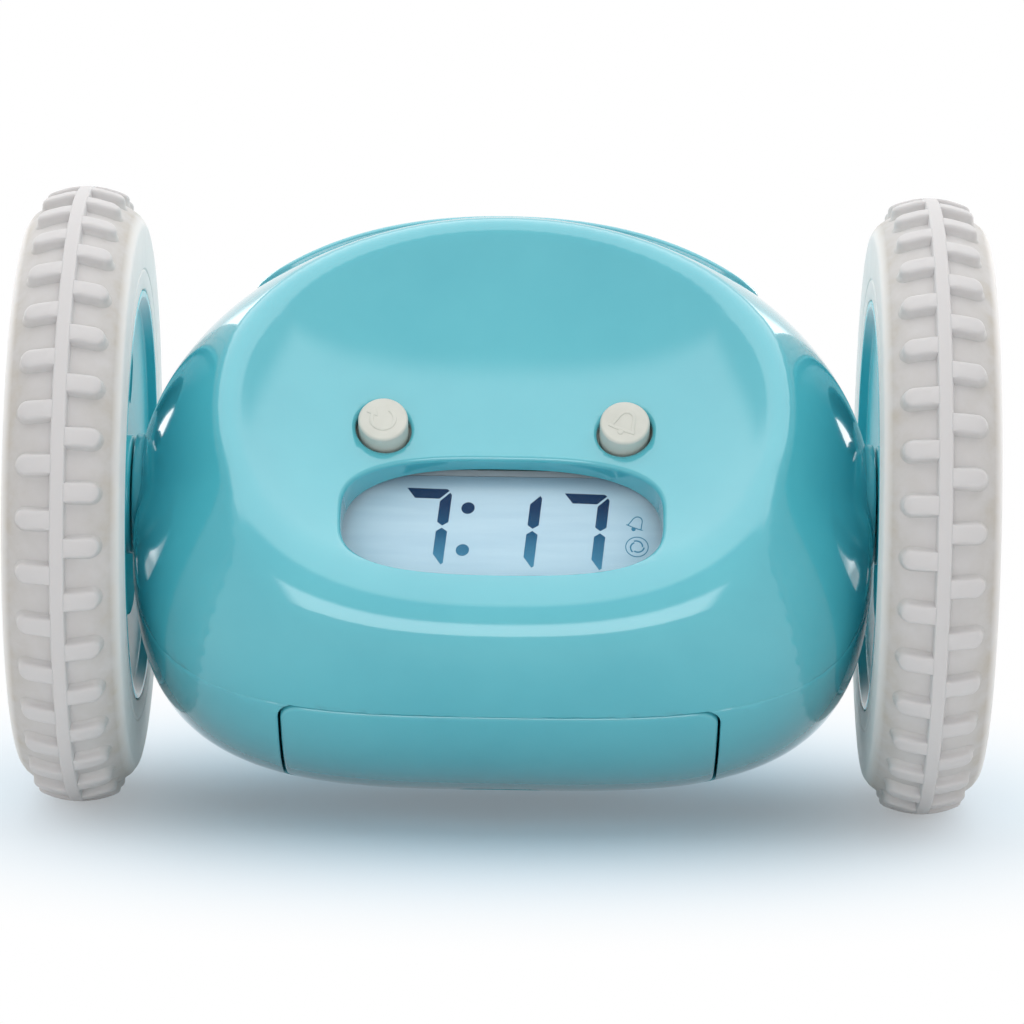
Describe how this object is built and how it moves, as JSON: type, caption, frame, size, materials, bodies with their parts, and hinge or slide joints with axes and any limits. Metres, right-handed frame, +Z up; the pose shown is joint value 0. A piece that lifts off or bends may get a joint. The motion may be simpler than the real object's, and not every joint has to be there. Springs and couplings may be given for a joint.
{
  "type": "runaway alarm clock",
  "caption": "Rounded alarm clock body with a dished face and display, hung between two large lugged wheels that drive it along the floor.",
  "frame": {"origin": "on the floor, straight below the middle of the axle", "axes": "+X along the axle towards the right wheel as seen from the front, -Y out of the face, +Z up"},
  "size_m": [0.1346, 0.087, 0.087],
  "materials": {
    "shell_plastic": "gloss",
    "hub_plastic": "gloss",
    "tyre_rubber": "matte",
    "cap_plastic": "satin",
    "display_acrylic": "polished",
    "display_glass": "gloss",
    "frame_plastic": "satin",
    "circuit_board": "satin",
    "black_plastic": "matte",
    "box_plastic": "satin",
    "gear_plastic": "satin",
    "steel": "satin",
    "brass": "satin",
    "cell_can": "satin",
    "motor_can": "satin",
    "speaker_paper": "matte"
  },
  "bodies": {
    "body": {"upper_shell": "shell_plastic", "lower_shell": "shell_plastic", "shell_screws": "steel", "snooze_switch": "black_plastic", "snooze_board": "circuit_board", "display_window": "display_acrylic", "display_panel": "display_glass", "display_frame": "frame_plastic", "light_guide": "display_acrylic", "main_board": "circuit_board", "driver_chip": "black_plastic", "quartz_crystal": "steel", "face_switches": "black_plastic", "rear_switches": "black_plastic", "rear_switch_board": "circuit_board", "battery_box": "box_plastic", "battery_cells": "cell_can", "battery_springs": "steel", "battery_contacts": "steel", "speaker_basket": "black_plastic", "speaker_cone": "speaker_paper", "speaker_magnet": "steel", "gear_pins": "steel", "right_motor": "motor_can", "right_gearbox_frame": "gear_plastic", "right_gearbox_cover": "gear_plastic", "right_axle_bush": "brass", "left_motor": "motor_can", "left_gearbox_frame": "gear_plastic", "left_gearbox_cover": "gear_plastic", "left_axle_bush": "brass"},
    "right_wheel": {"right_axle": "steel", "right_drive_gear": "gear_plastic", "right_hub": "hub_plastic", "right_wheel_cover": "hub_plastic", "right_tyre": "tyre_rubber"},
    "right_second_gear": {"right_second_gear": "gear_plastic"},
    "right_first_gear": {"right_first_gear": "gear_plastic"},
    "right_motor_pinion": {"right_motor_pinion": "brass"},
    "left_wheel": {"left_axle": "steel", "left_drive_gear": "gear_plastic", "left_hub": "hub_plastic", "left_wheel_cover": "hub_plastic", "left_tyre": "tyre_rubber"},
    "left_second_gear": {"left_second_gear": "gear_plastic"},
    "left_first_gear": {"left_first_gear": "gear_plastic"},
    "left_motor_pinion": {"left_motor_pinion": "brass"},
    "wheels_button": {"wheels_button": "cap_plastic", "wheels_plunger": "black_plastic"},
    "alarm_button": {"alarm_button": "cap_plastic", "alarm_plunger": "black_plastic"},
    "snooze_bar": {"snooze_bar": "shell_plastic", "snooze_plunger": "black_plastic"},
    "time_button": {"time_button": "cap_plastic"},
    "alarm_set_button": {"alarm_set_button": "cap_plastic"},
    "hour_button": {"hour_button": "cap_plastic"},
    "minute_button": {"minute_button": "cap_plastic"},
    "battery_door": {"battery_door": "shell_plastic"}
  },
  "joints": [
    {"name": "right_wheel_spin", "type": "hinge", "parent": "body", "child": "right_wheel", "pos_m": [0, 0, 0.0435], "axis": [1, 0, 0], "continuous": true},
    {"name": "right_second_gear_spin", "type": "hinge", "parent": "body", "child": "right_second_gear", "pos_m": [0, 0.01282, 0.04576], "axis": [1, 0, 0], "continuous": true},
    {"name": "right_first_gear_spin", "type": "hinge", "parent": "body", "child": "right_first_gear", "pos_m": [0, 0.01073, 0.0576], "axis": [1, 0, 0], "continuous": true},
    {"name": "right_motor_spin", "type": "hinge", "parent": "body", "child": "right_motor_pinion", "pos_m": [0, 0.01706, 0.04857], "axis": [1, 0, 0], "continuous": true},
    {"name": "left_wheel_spin", "type": "hinge", "parent": "body", "child": "left_wheel", "pos_m": [0, 0, 0.0435], "axis": [1, 0, 0], "continuous": true},
    {"name": "left_second_gear_spin", "type": "hinge", "parent": "body", "child": "left_second_gear", "pos_m": [0, 0.01282, 0.04576], "axis": [1, 0, 0], "continuous": true},
    {"name": "left_first_gear_spin", "type": "hinge", "parent": "body", "child": "left_first_gear", "pos_m": [0, 0.01073, 0.0576], "axis": [1, 0, 0], "continuous": true},
    {"name": "left_motor_spin", "type": "hinge", "parent": "body", "child": "left_motor_pinion", "pos_m": [0, 0.01706, 0.04857], "axis": [1, 0, 0], "continuous": true},
    {"name": "wheels_button_press", "type": "slide", "parent": "body", "child": "wheels_button", "axis": [0, 0.766, -0.6428], "range_m": [0, 0.0008], "stiffness_N_per_m": 600},
    {"name": "alarm_button_press", "type": "slide", "parent": "body", "child": "alarm_button", "axis": [0, 0.766, -0.6428], "range_m": [0, 0.0008], "stiffness_N_per_m": 600},
    {"name": "snooze_press", "type": "slide", "parent": "body", "child": "snooze_bar", "axis": [0, -0.3584, -0.9336], "range_m": [0, 0.0008], "stiffness_N_per_m": 1200},
    {"name": "time_button_press", "type": "slide", "parent": "body", "child": "time_button", "axis": [0, -0.9397, 0.342], "range_m": [0, 0.0008], "stiffness_N_per_m": 600},
    {"name": "alarm_set_button_press", "type": "slide", "parent": "body", "child": "alarm_set_button", "axis": [0, -0.9397, 0.342], "range_m": [0, 0.0008], "stiffness_N_per_m": 600},
    {"name": "hour_button_press", "type": "slide", "parent": "body", "child": "hour_button", "axis": [0, -0.9397, 0.342], "range_m": [0, 0.0008], "stiffness_N_per_m": 600},
    {"name": "minute_button_press", "type": "slide", "parent": "body", "child": "minute_button", "axis": [0, -0.9397, 0.342], "range_m": [0, 0.0008], "stiffness_N_per_m": 600},
    {"name": "battery_door_lift", "type": "slide", "parent": "body", "child": "battery_door", "axis": [0, -0.5299, -0.848], "range_m": [0, 0.015]}
  ],
  "couplings": [
    {"joint": "right_second_gear_spin", "follows": "right_wheel_spin", "ratio": -3.3333},
    {"joint": "right_first_gear_spin", "follows": "right_wheel_spin", "ratio": 10},
    {"joint": "right_motor_spin", "follows": "right_wheel_spin", "ratio": -26.667},
    {"joint": "left_second_gear_spin", "follows": "left_wheel_spin", "ratio": -3.3333},
    {"joint": "left_first_gear_spin", "follows": "left_wheel_spin", "ratio": 10},
    {"joint": "left_motor_spin", "follows": "left_wheel_spin", "ratio": -26.667}
  ]
}
